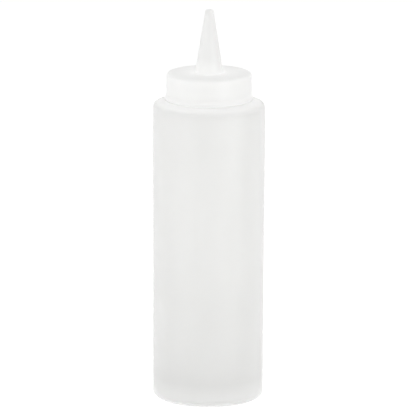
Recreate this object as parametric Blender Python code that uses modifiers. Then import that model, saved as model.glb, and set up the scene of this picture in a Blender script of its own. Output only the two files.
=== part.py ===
"""A condiment squeeze bottle in three pieces: the blow-moulded bottle, its screw cap with a cone
nozzle, and the sealing ring that the cap presses on the neck's rim. Metres, +Z up. The origin is
the middle of the foot, on the plane that the bottle stands on."""

import math

import bmesh
import bpy

MM = 0.001
INCH = 25.4 * MM

# Gaps between pieces
SEAT_GAP = 0.3 * MM  # between faces that rest on each other, and beside the sealing ring
THREAD_GAP = 0.3 * MM  # from each thread's crest to the wall that it faces
FLANK_GAP = 0.35 * MM  # along the axis, between the flanks that carry the cap

# The bottle's body
BODY_RADIUS = 25.4 * MM  # outside, where the wall meets the shoulder
BODY_WALL = 1.0 * MM
BELLY_SWELL = 0.2 * MM  # how far the wall bows out a little below the shoulder
SWELL_POWER = 5  # sets how high up the wall the bow lies
FOOT_DRAW = 0.3 * MM  # how much less the radius is at the foot
SHOULDER_HEIGHT = 137.5 * MM  # from the standing plane to the shoulder's outer edge
SHOULDER_CORNER = 2.15 * MM
SHOULDER_CROWN = 1.2 * MM  # how much the shoulder rises towards the neck
FOOT_CORNER = 3.4 * MM
FOOT_RING = 3.0 * MM  # width of the flat ring that the bottle stands on
PUSH_UP = 2.4 * MM  # how far the middle of the base is domed inwards
WELD_SWELL = 0.4 * MM  # extra wall in the middle of the base, where the tube was pinched shut

# The bottle's neck
NECK_HEIGHT = 9.6 * MM  # from the foot of the neck to its rim
NECK_RADIUS = 16.9 * MM  # outside, between the turns of its thread
NECK_WALL = 1.6 * MM
NECK_FILLET = 0.8 * MM
RIM_ROUND = 0.3 * MM

# The thread, of one shape on the neck and in the cap
THREAD_PITCH = INCH / 6
THREAD_DEPTH = 1.1 * MM
THREAD_CREST = 0.9 * MM  # width of its top
THREAD_FLANK = 0.6 * MM  # how far each side spreads along the axis, crest to wall
THREAD_ROOT_SINK = 0.4 * MM  # how deep its foot is sunk in the wall
RUN_OUT_SINK = 0.15 * MM  # how far under the wall's surface it ends
NECK_THREAD_TOP = 1.0 * MM  # from the rim to the thread
NECK_THREAD_FOOT = 0.85 * MM  # from the foot of the neck to the thread
CAP_THREAD_FOOT = 0.85 * MM  # from the skirt's edge to the thread
RUN_OUT_SHARE = 0.12  # of a turn, over which each end sinks into the wall

# The cap
CAP_PLATE = 1.3 * MM
CAP_WALL = 1.1 * MM  # at the top of the skirt
CAP_DRAFT = 0.1 * MM  # how much thicker the skirt is where its flare begins
CAP_CORNER = 1.45 * MM
FLARE_WIDTH = 0.6 * MM
FLARE_RISE = 2.3 * MM  # height over which the skirt curves out
FLARE_BAND = 0.6 * MM  # straight band below that curve
SKIRT_LIFT = 0.35 * MM  # from the foot of the neck up to the skirt's edge
CAP_EDGE_ROUND = 0.3 * MM

# The nozzle
NOZZLE_LENGTH = 29.0 * MM  # from the cap's top face to the tip
NOZZLE_RADIUS = 6.43 * MM  # outside, at the cap's top face
NOZZLE_WALL = 1.2 * MM  # at the cap's underside
NOZZLE_FILLET = 0.9 * MM
TIP_RADIUS = 1.9 * MM
TIP_BORE = 1.0 * MM  # radius of the hole at the tip
TIP_ROUND = 0.35 * MM
BORE_MOUTH_ROUND = 0.8 * MM

# The sealing ring
RING_THICKNESS = 1.0 * MM
RING_REACH = 1.0 * MM  # how far it reaches inside the neck's bore
RING_ROUND = 0.2 * MM

# How finely round shapes are divided
ROUND_STEPS = 64
THREAD_STEPS = 48  # to a turn
MERGE_DISTANCE = 0.01 * MM
SHARP_ANGLE = math.radians(35)

# Sizes that follow from those above
NECK_FOOT_Z = SHOULDER_HEIGHT + SHOULDER_CROWN
RIM_Z = NECK_FOOT_Z + NECK_HEIGHT
NECK_BORE = NECK_RADIUS - NECK_WALL
RING_Z = RIM_Z + SEAT_GAP
CAP_Z = RING_Z + RING_THICKNESS + SEAT_GAP  # the cap's underside
SKIRT_DEPTH = CAP_Z - NECK_FOOT_Z - SKIRT_LIFT
CAP_INNER = NECK_RADIUS + THREAD_DEPTH + THREAD_GAP
CAP_OUTER = CAP_INNER + CAP_WALL
THREAD_WIDTH = THREAD_CREST + 2 * THREAD_FLANK

# The shoulder is a shallow arc, level at the neck's foot, that runs smoothly into its round corner.
CORNER_R = BODY_RADIUS - SHOULDER_CORNER
CORNER_Z = SHOULDER_HEIGHT - SHOULDER_CORNER
DOME_R = NECK_RADIUS + NECK_FILLET
DOME_RUN = CORNER_R - DOME_R
DOME_RISE = SHOULDER_CORNER + SHOULDER_CROWN
DOME_RADIUS = (DOME_RUN**2 + DOME_RISE**2 - SHOULDER_CORNER**2) / (2 * SHOULDER_CROWN)
DOME_EDGE = math.acos(DOME_RUN / (DOME_RADIUS - SHOULDER_CORNER))  # where the corner takes over

RIGHT, UP, LEFT, DOWN = 0, math.pi / 2, math.pi, -math.pi / 2


def clear_scene():
    for obj in list(bpy.data.objects):
        bpy.data.objects.remove(obj, do_unlink=True)


def new_collection(name):
    collection = bpy.data.collections.new(name)
    bpy.context.scene.collection.children.link(collection)
    return collection


def shares(count):
    """Even shares from 0 to 1, both included."""
    return [i / count for i in range(count + 1)]


def arc(centre_r, centre_z, radius, start, end, count):
    """Points of a rounded edge, as (radius, height) pairs."""
    angles = [start + (end - start) * share for share in shares(count)]
    return [(centre_r + radius * math.cos(a), centre_z + radius * math.sin(a)) for a in angles]


def half_wave(share):
    """1 at share 0, easing down to 0 at share 1."""
    return (1 + math.cos(math.pi * share)) / 2


def body_radius(share):
    """Outside radius of the body at a share of its wall's height."""
    bow = math.sin(math.pi * share**SWELL_POWER)
    return BODY_RADIUS - FOOT_DRAW * (1 - share) + BELLY_SWELL * bow


def body_side(inset, count):
    """The body's wall from foot to shoulder, moved inwards by inset."""
    low = FOOT_CORNER
    high = SHOULDER_HEIGHT - SHOULDER_CORNER
    return [(body_radius(share) - inset, low + (high - low) * share) for share in shares(count)]


def shoulder(inset, corner_count, dome_count):
    """From the top of the body's wall to the neck's foot, moved inwards by inset."""
    points = arc(CORNER_R, CORNER_Z, SHOULDER_CORNER - inset, RIGHT, DOME_EDGE, corner_count)
    dome_z = NECK_FOOT_Z - DOME_RADIUS
    points += arc(DOME_R, dome_z, DOME_RADIUS - inset, DOME_EDGE, UP, dome_count)[1:]
    return points


def base_dome(inset, count):
    """The base's dome from the axis to the standing ring, with the wall's thickness added."""
    edge_r = BODY_RADIUS - FOOT_DRAW - FOOT_CORNER - FOOT_RING
    thickening = WELD_SWELL if inset else 0
    points = []
    for share in shares(count):
        height = inset + (PUSH_UP + thickening) * half_wave(share)
        points.append((edge_r * share, height))
    return points


def bottle_profile():
    """From the middle of the floor inside, up over the rim, and down outside to the base."""
    foot_r = BODY_RADIUS - FOOT_DRAW - FOOT_CORNER
    inner_round = NECK_FILLET
    inner_foot = NECK_BORE + inner_round
    inside = base_dome(BODY_WALL, 4)
    inside += arc(foot_r, FOOT_CORNER, FOOT_CORNER - BODY_WALL, DOWN, RIGHT, 3)
    inside += body_side(BODY_WALL, 5)[1:-1]
    inside += shoulder(BODY_WALL, 2, 2)
    inside += arc(inner_foot, NECK_FOOT_Z - BODY_WALL + inner_round, inner_round, DOWN, -LEFT, 2)
    inside += arc(NECK_BORE + RIM_ROUND, RIM_Z - RIM_ROUND, RIM_ROUND, LEFT, UP, 2)
    outside = arc(NECK_RADIUS - RIM_ROUND, RIM_Z - RIM_ROUND, RIM_ROUND, UP, RIGHT, 2)
    outside += arc(DOME_R, NECK_FOOT_Z + NECK_FILLET, NECK_FILLET, LEFT, LEFT + UP, 3)
    outside += shoulder(0, 4, 3)[-2::-1]
    outside += body_side(0, 8)[-2:0:-1]
    outside += arc(foot_r, FOOT_CORNER, FOOT_CORNER, RIGHT, DOWN, 5)
    outside += base_dome(0, 5)[::-1]
    return inside + outside


def cap_profile():
    """A closed outline, with heights from the cap's underside, down its outside from the tip."""
    tip_z = CAP_PLATE + NOZZLE_LENGTH
    slope = (NOZZLE_RADIUS - TIP_RADIUS) / NOZZLE_LENGTH
    lean = math.atan(slope)
    fillet_z = CAP_PLATE + NOZZLE_FILLET
    fillet_r = NOZZLE_RADIUS - slope * NOZZLE_FILLET + NOZZLE_FILLET
    edge_z = CAP_PLATE - CAP_CORNER
    skirt_z = -SKIRT_DEPTH
    band_z = skirt_z + FLARE_BAND
    flare_z = band_z + FLARE_RISE
    flare_r = CAP_OUTER + CAP_DRAFT
    skirt_r = flare_r + FLARE_WIDTH
    bore_r = NOZZLE_RADIUS - NOZZLE_WALL
    points = arc(TIP_BORE + TIP_ROUND, tip_z - TIP_ROUND, TIP_ROUND, LEFT, UP, 2)
    points += arc(TIP_RADIUS - TIP_ROUND, tip_z - TIP_ROUND, TIP_ROUND, UP, lean, 3)
    points += arc(fillet_r, fillet_z, NOZZLE_FILLET, LEFT + lean, LEFT + UP, 3)
    points += arc(CAP_OUTER - CAP_CORNER, edge_z, CAP_CORNER, UP, RIGHT, 4)
    for share in shares(4):
        points.append((skirt_r - FLARE_WIDTH * half_wave(share), flare_z - FLARE_RISE * share))
    points += arc(skirt_r - CAP_EDGE_ROUND, skirt_z + CAP_EDGE_ROUND, CAP_EDGE_ROUND, RIGHT, DOWN, 2)
    points += arc(CAP_INNER + CAP_EDGE_ROUND, skirt_z + CAP_EDGE_ROUND, CAP_EDGE_ROUND, DOWN, -LEFT, 2)
    points.append((CAP_INNER, 0))
    points += arc(bore_r + BORE_MOUTH_ROUND, BORE_MOUTH_ROUND, BORE_MOUTH_ROUND, DOWN, -LEFT, 2)
    return points


def ring_profile():
    """A flat ring with eased edges, its lower face at height 0, down its outer side."""
    inner_r = NECK_BORE - RING_REACH + RING_ROUND
    outer_r = CAP_INNER - SEAT_GAP - RING_ROUND
    low_z = RING_ROUND
    high_z = RING_THICKNESS - RING_ROUND
    points = arc(outer_r, high_z, RING_ROUND, UP, RIGHT, 1)
    points += arc(outer_r, low_z, RING_ROUND, RIGHT, DOWN, 1)
    points += arc(inner_r, low_z, RING_ROUND, DOWN, -LEFT, 1)
    points += arc(inner_r, high_z, RING_ROUND, LEFT, UP, 1)
    return points


def turned(name, profile, closed, collection):
    """An object whose outline, in the XZ plane, is turned round the Z axis."""
    mesh = bpy.data.meshes.new(name)
    edges = [(i, i + 1) for i in range(len(profile) - 1)]
    if closed:
        edges.append((len(profile) - 1, 0))
    mesh.from_pydata([(r, 0, z) for r, z in profile], edges, [])
    obj = bpy.data.objects.new(name, mesh)
    collection.objects.link(obj)
    screw = obj.modifiers.new("turn", "SCREW")
    screw.steps = ROUND_STEPS
    screw.render_steps = ROUND_STEPS
    screw.use_merge_vertices = True
    screw.merge_threshold = MERGE_DISTANCE
    return obj


def thread_section(wall_r, outwards, grown):
    """The thread's outline as (radius, height) pairs, at a share of its full size."""
    half_crest = THREAD_CREST / 2
    slope = THREAD_FLANK / THREAD_DEPTH
    reach = (THREAD_DEPTH + RUN_OUT_SINK) * grown - RUN_OUT_SINK
    half_root = half_crest + slope * (reach + THREAD_ROOT_SINK)
    root_r = wall_r - outwards * THREAD_ROOT_SINK
    crest_r = wall_r + outwards * reach
    return [(root_r, -half_root), (crest_r, -half_crest), (crest_r, half_crest), (root_r, half_root)]


def thread(name, wall_r, outwards, low_z, high_z, start_angle, collection):
    """A helical ridge from low_z to high_z along its middle, as a solid to join to a wall.
    outwards is 1 for a ridge on the outside of its wall, and -1 for one on the inside."""
    turns = (high_z - low_z) / THREAD_PITCH
    count = math.ceil(turns * THREAD_STEPS)
    bm = bmesh.new()
    rows = []
    for share in shares(count):
        from_end = turns * min(share, 1 - share) / RUN_OUT_SHARE
        grown = 1 - half_wave(min(from_end, 1))
        angle = start_angle + share * turns * 2 * math.pi
        middle_z = low_z + (high_z - low_z) * share
        row = []
        for r, z in thread_section(wall_r, outwards, grown):
            row.append(bm.verts.new((r * math.cos(angle), r * math.sin(angle), middle_z + z)))
        rows.append(row)
    for row, following in zip(rows, rows[1:]):
        for i in range(4):
            j = (i + 1) % 4
            bm.faces.new((row[i], row[j], following[j], following[i]))
    bm.faces.new(rows[0])
    bm.faces.new(rows[-1])
    bmesh.ops.recalc_face_normals(bm, faces=bm.faces)
    mesh = bpy.data.meshes.new(name)
    bm.to_mesh(mesh)
    bm.free()
    obj = bpy.data.objects.new(name, mesh)
    collection.objects.link(obj)
    obj.hide_render = True
    obj.display_type = "WIRE"
    return obj


def join(obj, helper):
    union = obj.modifiers.new("join " + helper.name, "BOOLEAN")
    union.operation = "UNION"
    union.solver = "EXACT"
    union.object = helper


def settle(obj, material):
    """Makes the modifiers' result the object's own mesh, smooth but for its sharp edges."""
    graph = bpy.context.evaluated_depsgraph_get()
    mesh = bpy.data.meshes.new_from_object(obj.evaluated_get(graph))
    obj.modifiers.clear()
    obj.data = mesh
    mesh.name = obj.name
    mesh.shade_smooth()
    mesh.set_sharp_from_angle(angle=SHARP_ANGLE)
    mesh.materials.clear()
    mesh.materials.append(material)


def plastic(name, colour, roughness, see_through):
    material = bpy.data.materials.new(name)
    material.use_nodes = True
    shader = material.node_tree.nodes["Principled BSDF"]
    shader.inputs["Base Color"].default_value = (*colour, 1)
    shader.inputs["Roughness"].default_value = roughness
    shader.inputs["Metallic"].default_value = 0
    shader.inputs["Transmission Weight"].default_value = see_through
    material.diffuse_color = (*colour, 1)
    return material


def main():
    clear_scene()
    parts = new_collection("condiment_squeeze_bottle")
    helpers = new_collection("helpers")

    half_width = THREAD_WIDTH / 2
    neck_low = NECK_FOOT_Z + NECK_THREAD_FOOT + half_width
    neck_high = RIM_Z - NECK_THREAD_TOP - half_width
    cap_low = NECK_FOOT_Z + SKIRT_LIFT + CAP_THREAD_FOOT + half_width
    cap_high = RING_Z - SEAT_GAP - half_width
    # The cap's thread hangs under the neck's: this is how far its middle lies below the other's.
    overlap_depth = THREAD_DEPTH - THREAD_GAP
    shared_width = THREAD_WIDTH - THREAD_FLANK * (2 - overlap_depth / THREAD_DEPTH)
    drop = shared_width + FLANK_GAP
    cap_angle = (cap_low - neck_low + drop) / THREAD_PITCH * 2 * math.pi

    bottle = turned("bottle", bottle_profile(), False, parts)
    join(bottle, thread("neck_thread", NECK_RADIUS, 1, neck_low, neck_high, 0, helpers))

    cap = turned("cap", cap_profile(), True, parts)
    cap_thread = thread("cap_thread", CAP_INNER, -1, cap_low - CAP_Z, cap_high - CAP_Z, cap_angle, helpers)
    join(cap, cap_thread)

    sealing_ring = turned("sealing_ring", ring_profile(), True, parts)

    natural = plastic("natural_polyethylene", (0.90, 0.90, 0.89), 0.35, 0.5)
    cap_white = plastic("cap_polyethylene", (0.93, 0.93, 0.92), 0.3, 0.2)
    foam = plastic("foamed_polyethylene", (0.86, 0.86, 0.84), 0.7, 0)
    settle(bottle, natural)
    settle(cap, cap_white)
    settle(sealing_ring, foam)

    # The ring and the cap rise along the axis, and the cap turns on it.
    cap_axis = bpy.data.objects.new("cap_axis", None)
    parts.objects.link(cap_axis)
    cap_axis.location = (0, 0, CAP_Z)
    cap.parent = cap_axis
    sealing_ring.parent = cap_axis
    sealing_ring.location = (0, 0, RING_Z - CAP_Z)


main()
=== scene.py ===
import math

import bpy
import numpy as np
from mathutils import Matrix, Vector


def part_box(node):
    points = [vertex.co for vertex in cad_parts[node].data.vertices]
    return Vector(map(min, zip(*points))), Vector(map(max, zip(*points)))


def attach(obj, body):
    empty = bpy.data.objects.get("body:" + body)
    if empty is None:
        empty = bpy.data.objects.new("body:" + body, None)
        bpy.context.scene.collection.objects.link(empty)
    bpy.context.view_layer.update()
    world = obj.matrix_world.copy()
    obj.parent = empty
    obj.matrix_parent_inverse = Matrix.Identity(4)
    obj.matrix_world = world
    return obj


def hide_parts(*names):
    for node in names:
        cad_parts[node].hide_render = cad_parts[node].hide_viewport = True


# A condiment squeeze bottle of polyethylene with no dye: a blown bottle, a screw cap that carries the
# nozzle, and a sealing ring. Each is an outline turned round the Z axis. Lengths are in metres.

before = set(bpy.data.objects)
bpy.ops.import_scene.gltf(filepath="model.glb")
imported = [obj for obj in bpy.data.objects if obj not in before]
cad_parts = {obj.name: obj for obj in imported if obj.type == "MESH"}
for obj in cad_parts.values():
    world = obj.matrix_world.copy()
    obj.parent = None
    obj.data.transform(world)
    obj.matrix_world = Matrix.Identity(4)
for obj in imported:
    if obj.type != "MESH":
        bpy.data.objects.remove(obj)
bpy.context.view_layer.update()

MM = 0.001
INCH = 25.4 * MM

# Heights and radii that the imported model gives
RIM_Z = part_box("bottle")[1].z
RING_LOW, RING_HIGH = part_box("sealing_ring")
CAP_LOW, CAP_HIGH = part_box("cap")
SKIRT_EDGE_Z = CAP_LOW.z
SKIRT_RADIUS = CAP_HIGH.x
TIP_Z = CAP_HIGH.z

# The bottle's body
BODY_RADIUS = 25.4 * MM
BODY_WALL = 1.0 * MM
BELLY_SWELL = 0.2 * MM
SWELL_POWER = 5  # the higher, the nearer to the shoulder the body is widest
FOOT_DRAW = 0.3 * MM  # how much narrower the body is at its foot
SHOULDER_CORNER = 2.15 * MM
SHOULDER_CROWN = 1.2 * MM
FOOT_CORNER = 3.4 * MM
FOOT_RING = 3.0 * MM
PUSH_UP = 2.4 * MM
WELD_SWELL = 0.4 * MM  # how much thicker the base is in its middle

# Its neck
NECK_HEIGHT = 9.6 * MM
NECK_RADIUS = 16.9 * MM
NECK_WALL = 1.6 * MM
NECK_FILLET = 0.8 * MM
RIM_ROUND = 0.3 * MM

# The thread on the neck and in the cap
THREAD_PITCH = INCH / 6
THREAD_DEPTH = 1.1 * MM
THREAD_CREST = 0.9 * MM
THREAD_FLANK = 0.6 * MM
THREAD_GAP = 0.3 * MM  # between a crest and the wall that it faces
FLANK_GAP = 0.35 * MM  # between the two threads
RUN_OUT_SINK = 0.15 * MM  # how far a thread's ends start below the wall
RUN_OUT_SHARE = 0.12  # of a turn, over which a thread rises at each end
NECK_THREAD_TOP = 1.0 * MM
NECK_THREAD_FOOT = 0.85 * MM
CAP_THREAD_FOOT = 0.85 * MM
CREST_ROUND = 0.18 * MM

# The cap and its nozzle
SEAT_GAP = 0.3 * MM
CAP_PLATE = 1.3 * MM
CAP_WALL = 1.1 * MM
CAP_DRAFT = 0.1 * MM
CAP_CORNER = 1.45 * MM
FLARE_RISE = 2.3 * MM
FLARE_BAND = 0.6 * MM
CAP_EDGE_ROUND = 0.3 * MM
NOZZLE_RADIUS = 6.43 * MM
NOZZLE_WALL = 1.2 * MM
NOZZLE_FILLET = 0.9 * MM
TIP_RADIUS = 1.9 * MM
TIP_BORE = 1.0 * MM
TIP_ROUND = 0.35 * MM
BORE_MOUTH_ROUND = 0.8 * MM

# The sealing ring
RING_REACH = 1.0 * MM  # how far it reaches in over the neck's mouth
RING_ROUND = 0.2 * MM

# What moulding leaves on the real bottle
WALL_WAVE = 0.10 * MM  # how far the blown wall's inside face wanders
OUTER_WAVE = 0.4  # how much of that its outside face has
WAVE_LENGTH = 34 * MM
WAVE_STRETCH = 0.6  # waves are longer up the wall than round it
WELD_HEIGHT = 0.35 * MM  # ridge where the tube was pinched shut, under the base
WELD_HALF_WIDTH = 0.55 * MM
WELD_HALF_LENGTH = 13 * MM
WELD_FADE = 4 * WELD_HALF_WIDTH  # over which the ridge fades out at each end

# How finely the pieces are divided
TURN_STEPS = 256
BODY_ROWS = 56
NOZZLE_ROWS = 20
THREAD_ROW = 0.15 * MM
MERGE_DISTANCE = 0.002 * MM

# Sizes that follow from those above
NECK_FOOT_Z = RIM_Z - NECK_HEIGHT
SHOULDER_Z = NECK_FOOT_Z - SHOULDER_CROWN
NECK_BORE = NECK_RADIUS - NECK_WALL
CAP_Z = RING_HIGH.z + SEAT_GAP  # the cap's underside
CAP_TOP_Z = CAP_Z + CAP_PLATE
CAP_INNER = NECK_RADIUS + THREAD_DEPTH + THREAD_GAP
CAP_OUTER = CAP_INNER + CAP_WALL

# Where the middle of each thread's ridge begins and ends
THREAD_HALF_WIDTH = THREAD_CREST / 2 + THREAD_FLANK
NECK_THREAD_LOW = NECK_FOOT_Z + NECK_THREAD_FOOT + THREAD_HALF_WIDTH
NECK_THREAD_HIGH = RIM_Z - NECK_THREAD_TOP - THREAD_HALF_WIDTH
CAP_THREAD_LOW = SKIRT_EDGE_Z + CAP_THREAD_FOOT + THREAD_HALF_WIDTH
CAP_THREAD_HIGH = CAP_Z - 2 * SEAT_GAP - (RING_HIGH.z - RING_LOW.z) - THREAD_HALF_WIDTH

# How far the cap's ridge lies below the neck's, whose flank it faces
SHARED_DEPTH = THREAD_DEPTH - THREAD_GAP
SHARED_WIDTH = 2 * THREAD_HALF_WIDTH - THREAD_FLANK * (2 - SHARED_DEPTH / THREAD_DEPTH)
CAP_THREAD_DROP = SHARED_WIDTH + FLANK_GAP

# The shoulder: a shallow arc, level at the neck's foot, that runs smoothly into its round corner
CORNER_R = BODY_RADIUS - SHOULDER_CORNER
CORNER_Z = SHOULDER_Z - SHOULDER_CORNER
DOME_R = NECK_RADIUS + NECK_FILLET
DOME_RUN = CORNER_R - DOME_R
DOME_RISE = SHOULDER_CORNER + SHOULDER_CROWN
DOME_RADIUS = (DOME_RUN**2 + DOME_RISE**2 - SHOULDER_CORNER**2) / (2 * SHOULDER_CROWN)
DOME_EDGE = math.acos(DOME_RUN / (DOME_RADIUS - SHOULDER_CORNER))

# Directions in an outline. The last two are LEFT and DOWN again, for an arc that turns the short way
# from one to the other.
RIGHT = 0
UP = math.pi / 2
LEFT = math.pi
DOWN = -math.pi / 2
LEFT_FROM_DOWN = -LEFT
DOWN_FROM_LEFT = LEFT + UP


def shares(count):
    """Even shares from 0 to 1, both included."""
    return [i / count for i in range(count + 1)]


def arc(centre_r, centre_z, radius, start, end, count):
    """Points of a rounded edge in count steps, as (radius, height) pairs."""
    angles = [start + (end - start) * share for share in shares(count)]
    return [(centre_r + radius * math.cos(a), centre_z + radius * math.sin(a)) for a in angles]


def between(start, end, count):
    """Points along a straight line in count steps, without its two ends."""
    (r0, z0), (r1, z1) = start, end
    return [(r0 + (r1 - r0) * share, z0 + (z1 - z0) * share) for share in shares(count)[1:-1]]


def upright(radius, low_z, high_z):
    """A straight wall fine enough for its thread, from low_z to high_z, without its two ends."""
    count = math.ceil(abs(high_z - low_z) / THREAD_ROW)
    return [(radius, low_z + (high_z - low_z) * share) for share in shares(count)[1:-1]]


def half_wave(share):
    """1 at share 0, easing down to 0 at share 1."""
    return (1 + math.cos(math.pi * share)) / 2


def body_radius(share):
    """Outside radius of the body at a share of its wall's height."""
    bow = math.sin(math.pi * share**SWELL_POWER)
    return BODY_RADIUS - FOOT_DRAW * (1 - share) + BELLY_SWELL * bow


def body_side(inset, count):
    """The body's wall from foot to shoulder, moved inwards by inset."""
    rise = CORNER_Z - FOOT_CORNER
    return [(body_radius(share) - inset, FOOT_CORNER + rise * share) for share in shares(count)]


def shoulder(inset, corner_count, dome_count):
    """From the top of the body's wall to the neck's foot, moved inwards by inset."""
    points = arc(CORNER_R, CORNER_Z, SHOULDER_CORNER - inset, RIGHT, DOME_EDGE, corner_count)
    dome_z = NECK_FOOT_Z - DOME_RADIUS
    points += arc(DOME_R, dome_z, DOME_RADIUS - inset, DOME_EDGE, UP, dome_count)[1:]
    return points


def base_dome(inset, count):
    """The base's dome from the axis to the standing ring. It is thicker in its middle."""
    edge_r = BODY_RADIUS - FOOT_DRAW - FOOT_CORNER - FOOT_RING
    height = PUSH_UP + (WELD_SWELL if inset else 0)
    return [(edge_r * share, inset + height * half_wave(share)) for share in shares(count)]


# What a row of an outline holds after its radius and height. A mark goes from 0 to 1.
MARKS = ("threaded", "waved", "welded")
# Each row also carries, last, a factor of painted light and shade
MARKS_AND_PAINTED_SHADING = (*MARKS, "painted_shading")

# Painted light and shade on the plastic's own colour: (height or radius in mm, factor) pairs. Above 1 is
# painted light, below 1 is painted shade.
# Outside the bottle, by height: painted light near the floor, on the shoulder and on the neck; painted
# shade in a line under the shoulder's corner, and growing darker from the middle of the wall down to a
# band above the foot.
OUTSIDE_PAINTED_SHADING = (
    (0, 1.04), (1.5, 1.06), (4, 1.06), (7, 1.01), (11, 0.92), (18, 0.95), (30, 0.97), (45, 0.975),
    (60, 1.0), (95, 1.015), (130, 1.01), (134.5, 0.99), (135.7, 0.955), (136.6, 0.99), (137.2, 1.09),
    (137.6, 1.16), (138.4, 1.17), (139.2, 1.16), (141, 1.06),
)
# Inside the bottle, by height: painted shade low in the foot's corner, seen through the wall as a dark
# arc, and painted light at the floor's edge and under the shoulder.
INSIDE_PAINTED_SHADING = (
    (0, 1.1), (1.5, 1.1), (2.2, 0.8), (3.4, 0.8), (8, 0.88), (14, 1.0), (136.2, 1.0), (137, 1.2),
)
# The cap, by height: painted shade that makes the nozzle darker than the skirt.
CAP_PAINTED_SHADING = ((150, 1.01), (152, 0.99), (158, 0.91), (170, 0.905), (180, 0.89))
# The cap's plate, by radius: painted light round the nozzle's foot, and painted shade towards the plate's
# edge.
PLATE_PAINTED_SHADING = (
    (5.5, 1.055), (6.3, 1.04), (6.6, 1.12), (7.5, 1.11), (9, 1.06), (13, 1.01), (17, 0.98), (19, 1.0),
)
PLAIN = ((0, 1.0),)


def marked(points, **marks):
    """Rows of an outline: radius, height, and each mark, which is 0 where it isn't given."""
    return [(r, z, *(marks.get(mark, 0.0) for mark in MARKS)) for r, z in points]


def with_painted_shading(rows, by_height, by_radius):
    """The rows with their factor of painted light and shade at the end."""
    return [
        (*row, np.interp(row[1] / MM, *zip(*by_height)) * np.interp(row[0] / MM, *zip(*by_radius)))
        for row in rows
    ]


def bottle_outline():
    """From the middle of the floor inside, up over the rim, and down outside to the base."""
    foot_r = BODY_RADIUS - FOOT_DRAW - FOOT_CORNER
    neck_low = NECK_FOOT_Z + NECK_FILLET
    inner_fillet_r = NECK_BORE + NECK_FILLET
    inner_fillet_z = NECK_FOOT_Z - BODY_WALL + NECK_FILLET
    rim_low = RIM_Z - RIM_ROUND
    rows = marked(base_dome(BODY_WALL, 18))
    rows += marked(arc(foot_r, FOOT_CORNER, FOOT_CORNER - BODY_WALL, DOWN, RIGHT, 9))
    rows += marked(body_side(BODY_WALL, BODY_ROWS)[1:-1], waved=1.0)
    rows += marked(shoulder(BODY_WALL, 6, 8))
    rows += marked(arc(inner_fillet_r, inner_fillet_z, NECK_FILLET, DOWN, LEFT_FROM_DOWN, 5))
    rows += marked(arc(NECK_BORE + RIM_ROUND, rim_low, RIM_ROUND, LEFT, UP, 4))
    rows += marked(arc(NECK_RADIUS - RIM_ROUND, rim_low, RIM_ROUND, UP, RIGHT, 4))
    inside = with_painted_shading(rows, INSIDE_PAINTED_SHADING, PLAIN)
    rows = marked(upright(NECK_RADIUS, rim_low, neck_low), threaded=1.0)
    rows += marked(arc(DOME_R, neck_low, NECK_FILLET, LEFT, DOWN_FROM_LEFT, 6), threaded=1.0)
    rows += marked(shoulder(0, 10, 10)[-2::-1])
    rows += marked(body_side(0, BODY_ROWS)[-2:0:-1], waved=OUTER_WAVE)
    rows += marked(arc(foot_r, FOOT_CORNER, FOOT_CORNER, RIGHT, DOWN, 14))
    rows += marked(base_dome(0, 24)[::-1], welded=1.0)
    return inside + with_painted_shading(rows, OUTSIDE_PAINTED_SHADING, PLAIN)


def cap_outline():
    """Down the outside from the tip, round the skirt's edge, and up inside to the tip again."""
    slope = (NOZZLE_RADIUS - TIP_RADIUS) / (TIP_Z - CAP_TOP_Z)
    lean = math.atan(slope)
    fillet_r = NOZZLE_RADIUS - slope * NOZZLE_FILLET + NOZZLE_FILLET
    fillet_z = CAP_TOP_Z + NOZZLE_FILLET
    nozzle_foot = (fillet_r - NOZZLE_FILLET * math.cos(lean), fillet_z)
    plate_edge_r = CAP_OUTER - CAP_CORNER
    plate_edge_z = CAP_TOP_Z - CAP_CORNER
    flare_z = SKIRT_EDGE_Z + FLARE_BAND + FLARE_RISE
    flare_width = SKIRT_RADIUS - CAP_OUTER - CAP_DRAFT
    low_round_z = SKIRT_EDGE_Z + CAP_EDGE_ROUND
    mouth_r = NOZZLE_RADIUS - NOZZLE_WALL + BORE_MOUTH_ROUND
    mouth_z = CAP_Z + BORE_MOUTH_ROUND
    tip_low = TIP_Z - TIP_ROUND

    outside = arc(TIP_BORE + TIP_ROUND, tip_low, TIP_ROUND, LEFT, UP, 5)
    outside += arc(TIP_RADIUS - TIP_ROUND, tip_low, TIP_ROUND, UP, lean, 6)
    outside += between(outside[-1], nozzle_foot, NOZZLE_ROWS)
    outside += arc(fillet_r, fillet_z, NOZZLE_FILLET, LEFT + lean, DOWN_FROM_LEFT, 7)
    outside += between(outside[-1], (plate_edge_r, CAP_TOP_Z), 5)
    outside += arc(plate_edge_r, plate_edge_z, CAP_CORNER, UP, RIGHT, 9)
    outside += between((CAP_OUTER, plate_edge_z), (CAP_OUTER + CAP_DRAFT, flare_z), 5)
    for share in shares(10):
        outside.append((SKIRT_RADIUS - flare_width * half_wave(share), flare_z - FLARE_RISE * share))
    outside += arc(SKIRT_RADIUS - CAP_EDGE_ROUND, low_round_z, CAP_EDGE_ROUND, RIGHT, DOWN, 4)
    rows = marked(outside)

    edge = arc(CAP_INNER + CAP_EDGE_ROUND, low_round_z, CAP_EDGE_ROUND, DOWN, LEFT_FROM_DOWN, 4)
    mouth = arc(mouth_r, mouth_z, BORE_MOUTH_ROUND, DOWN, LEFT_FROM_DOWN, 6)
    rows += marked(edge)
    rows += marked(upright(CAP_INNER, low_round_z, CAP_Z), threaded=1.0)
    rows += marked([(CAP_INNER, CAP_Z)])
    rows += marked(between((CAP_INNER, CAP_Z), mouth[0], 6))
    rows += marked(mouth)
    rows += marked(between(mouth[-1], outside[0], NOZZLE_ROWS))
    return with_painted_shading(rows, CAP_PAINTED_SHADING, PLATE_PAINTED_SHADING)


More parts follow.
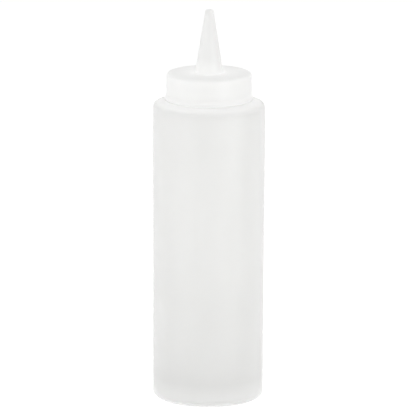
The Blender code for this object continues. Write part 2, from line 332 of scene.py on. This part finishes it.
def ring_outline():
    """A flat ring with eased edges, down its outer side."""
    inner_r = NECK_BORE - RING_REACH + RING_ROUND
    outer_r = RING_HIGH.x - RING_ROUND
    low_z = RING_LOW.z + RING_ROUND
    high_z = RING_HIGH.z - RING_ROUND
    points = arc(outer_r, high_z, RING_ROUND, UP, RIGHT, 4)
    points += arc(outer_r, low_z, RING_ROUND, RIGHT, DOWN, 4)
    points += arc(inner_r, low_z, RING_ROUND, DOWN, LEFT_FROM_DOWN, 4)
    points += arc(inner_r, high_z, RING_ROUND, LEFT, UP, 4)
    return with_painted_shading(marked(points + points[:1]), PLAIN, PLAIN)


def add(tree, kind, inputs=None, **settings):
    """Adds a node. settings are its own fields. inputs maps a socket's name or number to a value, to
    the output that feeds it, or to a node whose first output does."""
    node = tree.nodes.new(kind)
    for field, value in settings.items():
        setattr(node, field, value)
    for key, value in (inputs or {}).items():
        if isinstance(value, bpy.types.Node):
            value = value.outputs[0]
        if isinstance(value, bpy.types.NodeSocket):
            tree.links.new(value, node.inputs[key])
        else:
            node.inputs[key].default_value = value
    return node


def turning_tree():
    """Geometry nodes that turn an outline round the Z axis, and raise on it a thread, the blown
    wall's waves and the base's weld, each where the outline is marked for it."""
    tree = bpy.data.node_groups.new("turned_wall", "GeometryNodeTree")
    interface = tree.interface
    interface.new_socket("Outline", in_out="INPUT", socket_type="NodeSocketGeometry")
    interface.new_socket("Rows", in_out="INPUT", socket_type="NodeSocketInt")
    interface.new_socket("Columns", in_out="INPUT", socket_type="NodeSocketInt")
    for name in ("Thread Side", "Thread Low", "Thread Turns", "Thread Start", "Wave Depth", "Weld Height"):
        interface.new_socket(name, in_out="INPUT", socket_type="NodeSocketFloat")
    interface.new_socket("Finish", in_out="INPUT", socket_type="NodeSocketMaterial")
    interface.new_socket("Wall", in_out="OUTPUT", socket_type="NodeSocketGeometry")
    given = add(tree, "NodeGroupInput").outputs

    # A grid with a row for each point of the outline and a column for each step of the turn
    counts = {"Vertices X": given["Rows"], "Vertices Y": given["Columns"]}
    grid = add(tree, "GeometryNodeMeshGrid", counts)
    index = add(tree, "GeometryNodeInputIndex")
    row = add(tree, "ShaderNodeMath", {0: index, 1: 0.5}, operation="ADD")
    row = add(tree, "ShaderNodeMath", {0: row, 1: given["Columns"]}, operation="DIVIDE")
    row = add(tree, "ShaderNodeMath", {0: row}, operation="FLOOR")
    row_start = add(tree, "ShaderNodeMath", {0: row, 1: given["Columns"]}, operation="MULTIPLY")
    column = add(tree, "ShaderNodeMath", {0: index, 1: row_start}, operation="SUBTRACT")
    last_column = add(tree, "ShaderNodeMath", {0: given["Columns"], 1: 1.0}, operation="SUBTRACT")
    turn = add(tree, "ShaderNodeMath", {0: column, 1: last_column}, operation="DIVIDE")
    angle = add(tree, "ShaderNodeMath", {0: turn, 1: 2 * math.pi}, operation="MULTIPLY")
    cosine = add(tree, "ShaderNodeMath", {0: angle}, operation="COSINE")
    sine = add(tree, "ShaderNodeMath", {0: angle}, operation="SINE")

    # What the outline says at this row
    place = add(tree, "GeometryNodeInputPosition")
    sample = {"Geometry": given["Outline"], "Value": place, "Index": row}
    place = add(tree, "GeometryNodeSampleIndex", sample, data_type="FLOAT_VECTOR", domain="POINT")
    place = add(tree, "ShaderNodeSeparateXYZ", {0: place})
    radius = place.outputs["X"]
    height = place.outputs["Z"]
    marks = {}
    for name in MARKS_AND_PAINTED_SHADING:
        mark = add(tree, "GeometryNodeInputNamedAttribute", {"Name": name}, data_type="FLOAT")
        sample = {"Geometry": given["Outline"], "Value": mark, "Index": row}
        marks[name] = add(tree, "GeometryNodeSampleIndex", sample, data_type="FLOAT", domain="POINT")

    # Thread: how many turns up it the nearest ridge is, and how far above or below its middle
    turns_up = add(tree, "ShaderNodeMath", {0: height, 1: given["Thread Low"]}, operation="SUBTRACT")
    turns_up = add(tree, "ShaderNodeMath", {0: turns_up, 1: THREAD_PITCH}, operation="DIVIDE")
    part_turn = add(tree, "ShaderNodeMath", {0: turn, 1: given["Thread Start"]}, operation="SUBTRACT")
    whole_turns = add(tree, "ShaderNodeMath", {0: turns_up, 1: part_turn}, operation="SUBTRACT")
    whole_turns = add(tree, "ShaderNodeMath", {0: whole_turns}, operation="ROUND")
    along = add(tree, "ShaderNodeMath", {0: part_turn, 1: whole_turns}, operation="ADD")
    off = add(tree, "ShaderNodeMath", {0: turns_up, 1: along}, operation="SUBTRACT")
    off = add(tree, "ShaderNodeMath", {0: off}, operation="ABSOLUTE")
    off = add(tree, "ShaderNodeMath", {0: off, 1: THREAD_PITCH}, operation="MULTIPLY")

    # It rises out of the wall at each end of the thread
    from_top = add(tree, "ShaderNodeMath", {0: given["Thread Turns"], 1: along}, operation="SUBTRACT")
    from_end = add(tree, "ShaderNodeMath", {0: along, 1: from_top}, operation="MINIMUM")
    rise = {"Value": from_end, "From Min": 0.0, "From Max": RUN_OUT_SHARE, "To Min": 0.0, "To Max": 1.0}
    grown = add(tree, "ShaderNodeMapRange", rise, interpolation_type="SMOOTHSTEP")
    reach = {0: grown, 1: THREAD_DEPTH + RUN_OUT_SINK, 2: -RUN_OUT_SINK}
    reach = add(tree, "ShaderNodeMath", reach, operation="MULTIPLY_ADD")

    # Its crest is flat, its flanks slope, and both meet in a rounded edge
    past_crest = add(tree, "ShaderNodeMath", {0: off, 1: THREAD_CREST / 2}, operation="SUBTRACT")
    flank = {0: past_crest, 1: -THREAD_DEPTH / THREAD_FLANK, 2: reach}
    flank = add(tree, "ShaderNodeMath", flank, operation="MULTIPLY_ADD")
    ridge = add(tree, "ShaderNodeMath", {0: reach, 1: flank, 2: CREST_ROUND}, operation="SMOOTH_MIN")
    ridge = add(tree, "ShaderNodeMath", {0: ridge, 1: 0.0, 2: CREST_ROUND}, operation="SMOOTH_MAX")
    ridge = add(tree, "ShaderNodeMath", {0: ridge, 1: 0.0}, operation="MAXIMUM")
    ridge = add(tree, "ShaderNodeMath", {0: ridge, 1: marks["threaded"]}, operation="MULTIPLY")
    raised = {0: ridge, 1: given["Thread Side"], 2: radius}
    raised = add(tree, "ShaderNodeMath", raised, operation="MULTIPLY_ADD")

    # Waves of the blown wall, always inwards
    east = add(tree, "ShaderNodeMath", {0: cosine, 1: BODY_RADIUS}, operation="MULTIPLY")
    north = add(tree, "ShaderNodeMath", {0: sine, 1: BODY_RADIUS}, operation="MULTIPLY")
    level = add(tree, "ShaderNodeMath", {0: height, 1: WAVE_STRETCH}, operation="MULTIPLY")
    around = add(tree, "ShaderNodeCombineXYZ", {"X": east, "Y": north, "Z": level})
    waves = {"Vector": around, "Scale": 1 / WAVE_LENGTH, "Detail": 1.0, "Roughness": 0.4}
    waves = add(tree, "ShaderNodeTexNoise", waves)
    sunk = add(tree, "ShaderNodeMath", {0: waves, 1: given["Wave Depth"]}, operation="MULTIPLY")
    sunk = add(tree, "ShaderNodeMath", {0: sunk, 1: marks["waved"]}, operation="MULTIPLY")
    final_radius = add(tree, "ShaderNodeMath", {0: raised, 1: sunk}, operation="SUBTRACT")
    x = add(tree, "ShaderNodeMath", {0: final_radius, 1: cosine}, operation="MULTIPLY")
    y = add(tree, "ShaderNodeMath", {0: final_radius, 1: sine}, operation="MULTIPLY")

    # Weld under the base, a low ridge along X
    aside = add(tree, "ShaderNodeMath", {0: y}, operation="ABSOLUTE")
    across = {"Value": aside, "From Min": 0.0, "From Max": WELD_HALF_WIDTH, "To Min": 1.0, "To Max": 0.0}
    across = add(tree, "ShaderNodeMapRange", across, interpolation_type="SMOOTHSTEP")
    ahead = add(tree, "ShaderNodeMath", {0: x}, operation="ABSOLUTE")
    lengthways = {
        "Value": ahead,
        "From Min": WELD_HALF_LENGTH - WELD_FADE,
        "From Max": WELD_HALF_LENGTH,
        "To Min": 1.0,
        "To Max": 0.0,
    }
    lengthways = add(tree, "ShaderNodeMapRange", lengthways, interpolation_type="SMOOTHSTEP")
    weld = add(tree, "ShaderNodeMath", {0: across, 1: lengthways}, operation="MULTIPLY")
    weld = add(tree, "ShaderNodeMath", {0: weld, 1: given["Weld Height"]}, operation="MULTIPLY")
    weld = add(tree, "ShaderNodeMath", {0: weld, 1: marks["welded"]}, operation="MULTIPLY")
    z = add(tree, "ShaderNodeMath", {0: height, 1: weld}, operation="SUBTRACT")

    # The grid takes its place and its factor of painted light and shade, and its two edges and its poles
    # are closed
    spot = add(tree, "ShaderNodeCombineXYZ", {"X": x, "Y": y, "Z": z})
    grid_with_painted_shading = {"Geometry": grid, "Name": "painted_shading", "Value": marks["painted_shading"]}
    wall = add(tree, "GeometryNodeStoreNamedAttribute", grid_with_painted_shading, data_type="FLOAT", domain="POINT")
    wall = add(tree, "GeometryNodeSetPosition", {"Geometry": wall, "Position": spot})
    wall = add(tree, "GeometryNodeMergeByDistance", {"Geometry": wall, "Distance": MERGE_DISTANCE})
    wall = add(tree, "GeometryNodeSetShadeSmooth", {"Geometry": wall})
    wall = add(tree, "GeometryNodeRealizeInstances", {"Geometry": wall})
    wall = add(tree, "GeometryNodeSetMaterial", {"Geometry": wall, "Material": given["Finish"]})
    add(tree, "NodeGroupOutput", {"Wall": wall})
    return tree


def turned(name, outline, finish, tree, sizes):
    """A plain mesh object: the outline turned by the geometry nodes, with their inputs by name."""
    mesh = bpy.data.meshes.new(name + "_outline")
    edges = [(i, i + 1) for i in range(len(outline) - 1)]
    mesh.from_pydata([(row[0], 0, row[1]) for row in outline], edges, [])
    for position, mark in enumerate(MARKS_AND_PAINTED_SHADING, start=2):
        stored = mesh.attributes.new(mark, "FLOAT", "POINT")
        stored.data.foreach_set("value", [row[position] for row in outline])
    obj = bpy.data.objects.new(name, mesh)
    bpy.context.scene.collection.objects.link(obj)
    nodes = obj.modifiers.new("turn", "NODES")
    nodes.node_group = tree
    sockets = {s.name: s.identifier for s in tree.interface.items_tree if s.in_out == "INPUT"}
    values = {"Rows": len(outline), "Columns": TURN_STEPS + 1, "Finish": finish, **sizes}
    for label, value in values.items():
        nodes[sockets[label]] = value
    graph = bpy.context.evaluated_depsgraph_get()
    graph.update()
    made = bpy.data.meshes.new_from_object(obj.evaluated_get(graph))
    made.name = name
    obj.modifiers.clear()
    obj.data = made
    bpy.data.meshes.remove(mesh)
    return obj


def linear(hex_colour):
    """An sRGB hex colour as the linear values that Blender's sockets take."""
    values = [int(hex_colour[i : i + 2], 16) / 255 for i in (1, 3, 5)]
    light = [v / 12.92 if v <= 0.04045 else ((v + 0.055) / 1.055) ** 2.4 for v in values]
    return (*light, 1.0)


def new_material(name):
    """A material with an empty node tree."""
    material = bpy.data.materials.new(name)
    material.use_nodes = True
    tree = material.node_tree
    tree.nodes.clear()
    return material, tree


# Polyethylene blown thin into its mould: milky, with a satin skin, and the eye sees a little of what
# is behind it
BLOW_MOULDED = dict(
    dark="#E3E3E2",
    pale="#E7E7E6",
    rough_low=0.30,
    rough_high=0.35,
    transmission=0.3,
    light_spread=1.0 * MM,
    grain=0.45 * MM,
    grain_depth=0.012 * MM,
    clear_share=0.35,
)

# The same plastic injected into a smoother mould: thicker, so that it looks whiter and denser, and its
# skin is a little finer
INJECTED = dict(
    dark="#E9E9E8",
    pale="#EDEDEC",
    rough_low=0.30,
    rough_high=0.35,
    transmission=0.2,
    light_spread=1.0 * MM,
    grain=0.35 * MM,
    grain_depth=0.005 * MM,
)

# Foamed polyethylene, whose cells scatter all the light: chalky, matt and not see-through
FOAMED = dict(
    dark="#E6E6E3",
    pale="#F2F2EF",
    rough_low=0.6,
    rough_high=0.75,
    transmission=0.0,
    light_spread=0.8 * MM,
    grain=0.25 * MM,
    grain_depth=0.03 * MM,
)

POLYETHYLENE_IOR = 1.51
CLOUD_SIZE = 16 * MM
CLOUD_STRETCH = (1.0, 1.0, 0.3)  # the clouds are drawn out up and down
CLOUD_LOW = 0.3  # nearly all of the clouds' noise lies between these two
CLOUD_HIGH = 0.7
LET_THROUGH = 0.99  # light that a ray between lamps and surfaces keeps at each face that it passes
FACES_PASSED = 40  # that one ray may go through: bottle, neck, ring and cap lie inside each other


def polyethylene(
    name,
    dark,
    pale,
    rough_low,
    rough_high,
    transmission,
    light_spread,
    grain,
    grain_depth,
    clear_share=0.0,
):
    """Polyethylene with no dye. Its density and gloss are cloudy, and its mould leaves a grain, drawn
    coarser than the real one so that it shows. clear_share is how much of what lies straight behind
    a face is seen through it."""
    material, tree = new_material(name)
    place = add(tree, "ShaderNodeTexCoord").outputs["Object"]
    drawn = add(tree, "ShaderNodeVectorMath", {0: place, 1: CLOUD_STRETCH}, operation="MULTIPLY")
    cloud = {"Vector": drawn, "Scale": 1 / CLOUD_SIZE, "Detail": 2.0, "Roughness": 0.5}
    cloud = add(tree, "ShaderNodeTexNoise", cloud)
    colour = {"Factor": cloud, 6: linear(dark), 7: linear(pale)}
    colour = add(tree, "ShaderNodeMix", colour, data_type="RGBA").outputs[2]
    # Painted light and shade: the colour is scaled by the factor that the outline gives each row
    painted_shading = add(tree, "ShaderNodeAttribute", attribute_name="painted_shading").outputs["Fac"]
    colour = add(tree, "ShaderNodeVectorMath", {0: colour, "Scale": painted_shading}, operation="SCALE")
    rough = add(
        tree,
        "ShaderNodeMapRange",
        {
            "Value": cloud,
            "From Min": CLOUD_LOW,
            "From Max": CLOUD_HIGH,
            "To Min": rough_low,
            "To Max": rough_high,
        },
    )
    fine = {"Vector": place, "Scale": 1 / grain, "Detail": 2.0, "Roughness": 0.6}
    fine = add(tree, "ShaderNodeTexNoise", fine)
    bump = add(tree, "ShaderNodeBump", {"Height": fine, "Distance": grain_depth, "Strength": 1.0})
    plastic = add(
        tree,
        "ShaderNodeBsdfPrincipled",
        {
            "Base Color": colour,
            "Roughness": rough,
            "IOR": POLYETHYLENE_IOR,
            "Transmission Weight": transmission,
            "Subsurface Weight": 1.0,
            "Subsurface Radius": (1.0, 1.0, 1.0),
            "Subsurface Scale": light_spread,
            "Normal": bump,
        },
    )
    # Light goes through thin milky plastic and back many times, more often than a render follows
    # it: rays from lamps and between surfaces pass through and keep nearly all their light.
    passed = (LET_THROUGH, LET_THROUGH, LET_THROUGH, 1)
    clear = add(tree, "ShaderNodeBsdfTransparent", {"Color": passed})
    path = add(tree, "ShaderNodeLightPath").outputs
    for ray in ("Is Shadow Ray", "Is Diffuse Ray"):
        plastic = add(tree, "ShaderNodeMixShader", {0: path[ray], 1: plastic, 2: clear})
    if clear_share:
        window = add(tree, "ShaderNodeBsdfTransparent")
        plastic = add(tree, "ShaderNodeMixShader", {0: clear_share, 1: plastic, 2: window})
    add(tree, "ShaderNodeOutputMaterial", {"Surface": plastic})
    return material


# The studio: a pale floor, an even white world, and two soft boxes that stand on the floor
WHITE = "#FFFFFF"
WORLD_LEVEL = 0.96  # how bright the world is as a light, beside 1 where it is seen
FLOOR_SIZE = 6.0
FLOOR_DROP = 0.02 * MM  # keeps it clear of the bottle's standing ring
FLOOR_ALBEDO = 0.85
FLOOR_BOOST = 0.2  # makes it as white as the background where it is seen
BOX_DISTANCE = 0.42
BOX_HEIGHT = 0.30

# Name, azimuth in degrees from the camera, width, and brightness beside the background's 1
SOFT_BOXES = (
    ("left_box", -62, 0.50, 0.70),
    ("right_box", 45, 0.27, 1.15),
)


def seen_directly(tree):
    """1 for rays that show the background: the camera's own, and those by gloss or through plastic."""
    path = add(tree, "ShaderNodeLightPath").outputs
    seen = {0: path["Is Camera Ray"], 1: path["Is Glossy Ray"]}
    seen = add(tree, "ShaderNodeMath", seen, operation="MAXIMUM")
    return add(tree, "ShaderNodeMath", {0: seen, 1: path["Is Transmission Ray"]}, operation="MAXIMUM")


def make_world():
    """An even studio, white where it is seen, mirrored or shows through plastic."""
    world = bpy.data.worlds.new("studio")
    world.use_nodes = True
    tree = world.node_tree
    tree.nodes.clear()
    levels = {0: seen_directly(tree), 2: WORLD_LEVEL, 3: 1.0}
    level = add(tree, "ShaderNodeMix", levels, data_type="FLOAT")
    light = add(tree, "ShaderNodeBackground", {"Color": linear(WHITE), "Strength": level})
    add(tree, "ShaderNodeOutputWorld", {"Surface": light})
    bpy.context.scene.world = world


def make_floor():
    """A matt white sweep that fades into the background and keeps the bottle's shadow."""
    mesh = bpy.data.meshes.new("floor")
    half = FLOOR_SIZE / 2
    corners = ((-half, -half), (half, -half), (half, half), (-half, half))
    mesh.from_pydata([(x, y, -FLOOR_DROP) for x, y in corners], [], [(0, 1, 2, 3)])
    floor = bpy.data.objects.new("floor", mesh)
    bpy.context.scene.collection.objects.link(floor)
    material, tree = new_material("white_sweep")
    albedo = (FLOOR_ALBEDO, FLOOR_ALBEDO, FLOOR_ALBEDO, 1)
    matt = add(tree, "ShaderNodeBsdfDiffuse", {"Color": albedo})
    boost = add(tree, "ShaderNodeMath", {0: seen_directly(tree), 1: FLOOR_BOOST}, operation="MULTIPLY")
    glow = add(tree, "ShaderNodeEmission", {"Color": linear(WHITE), "Strength": boost})
    both = add(tree, "ShaderNodeAddShader", {0: matt, 1: glow})
    add(tree, "ShaderNodeOutputMaterial", {"Surface": both})
    mesh.materials.append(material)


def make_soft_box(name, azimuth, width, brightness):
    """A tall rectangular lamp that faces the bottle."""
    turn = math.radians(azimuth)
    place = Vector((math.sin(turn) * BOX_DISTANCE, -math.cos(turn) * BOX_DISTANCE, BOX_HEIGHT / 2))
    aim = Vector((0, 0, BOX_HEIGHT / 2))
    data = bpy.data.lights.new(name, "AREA")
    data.shape = "RECTANGLE"
    data.size = width
    data.size_y = BOX_HEIGHT
    data.energy = brightness * math.pi * width * BOX_HEIGHT
    lamp = bpy.data.objects.new(name, data)
    lamp.location = place
    lamp.rotation_euler = (aim - place).to_track_quat("-Z", "Y").to_euler()
    bpy.context.scene.collection.objects.link(lamp)


# The camera, at the photograph's angle. It has a long lens and stands far away.
CAMERA_DISTANCE = 3.0
CAMERA_RISE = math.radians(12.585)
CAMERA_ROLL = math.radians(0.23)
LENS = 569.9
SENSOR_WIDTH = 36
CLIP_END = 20
AIM = Vector((-0.5 * MM, 0, 88.3 * MM))


def make_camera():
    data = bpy.data.cameras.new("camera")
    data.lens = LENS
    data.sensor_width = SENSOR_WIDTH
    data.clip_end = CLIP_END
    camera = bpy.data.objects.new("camera", data)
    back = Vector((0, -math.cos(CAMERA_RISE), math.sin(CAMERA_RISE)))
    place = Matrix.Translation(AIM + CAMERA_DISTANCE * back)
    turn = back.to_track_quat("Z", "Y").to_matrix().to_4x4()
    camera.matrix_world = place @ turn @ Matrix.Rotation(CAMERA_ROLL, 4, "Z")
    bpy.context.scene.collection.objects.link(camera)
    bpy.context.scene.camera = camera


def make_bottle(tree, natural):
    sizes = {
        "Thread Side": 1.0,
        "Thread Low": NECK_THREAD_LOW,
        "Thread Turns": (NECK_THREAD_HIGH - NECK_THREAD_LOW) / THREAD_PITCH,
        "Thread Start": 0.0,
        "Wave Depth": WALL_WAVE,
        "Weld Height": WELD_HEIGHT,
    }
    shell = turned("bottle_shell", bottle_outline(), natural, tree, sizes)
    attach(shell, "bottle")
    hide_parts("bottle")


def make_cap(tree, milky):
    """The cap. Its thread points inwards, and starts where it lies under the neck's."""
    sizes = {
        "Thread Side": -1.0,
        "Thread Low": CAP_THREAD_LOW,
        "Thread Turns": (CAP_THREAD_HIGH - CAP_THREAD_LOW) / THREAD_PITCH,
        "Thread Start": (CAP_THREAD_LOW - NECK_THREAD_LOW + CAP_THREAD_DROP) / THREAD_PITCH,
    }
    cap = turned("cap_moulding", cap_outline(), milky, tree, sizes)
    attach(cap, "cap")
    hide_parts("cap")


def make_ring(tree, foam):
    ring = turned("foam_ring", ring_outline(), foam, tree, {})
    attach(ring, "sealing_ring")
    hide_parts("sealing_ring")


def main():
    bpy.context.scene.view_settings.view_transform = "Standard"
    bpy.context.scene.cycles.transparent_max_bounces = FACES_PASSED
    tree = turning_tree()
    natural = polyethylene("blow_moulded_natural_ldpe", **BLOW_MOULDED)
    milky = polyethylene("injection_moulded_natural_ldpe", **INJECTED)
    foam = polyethylene("foamed_polyethylene", **FOAMED)
    make_bottle(tree, natural)
    make_cap(tree, milky)
    make_ring(tree, foam)
    make_world()
    make_floor()
    for box in SOFT_BOXES:
        make_soft_box(*box)
    make_camera()


main()
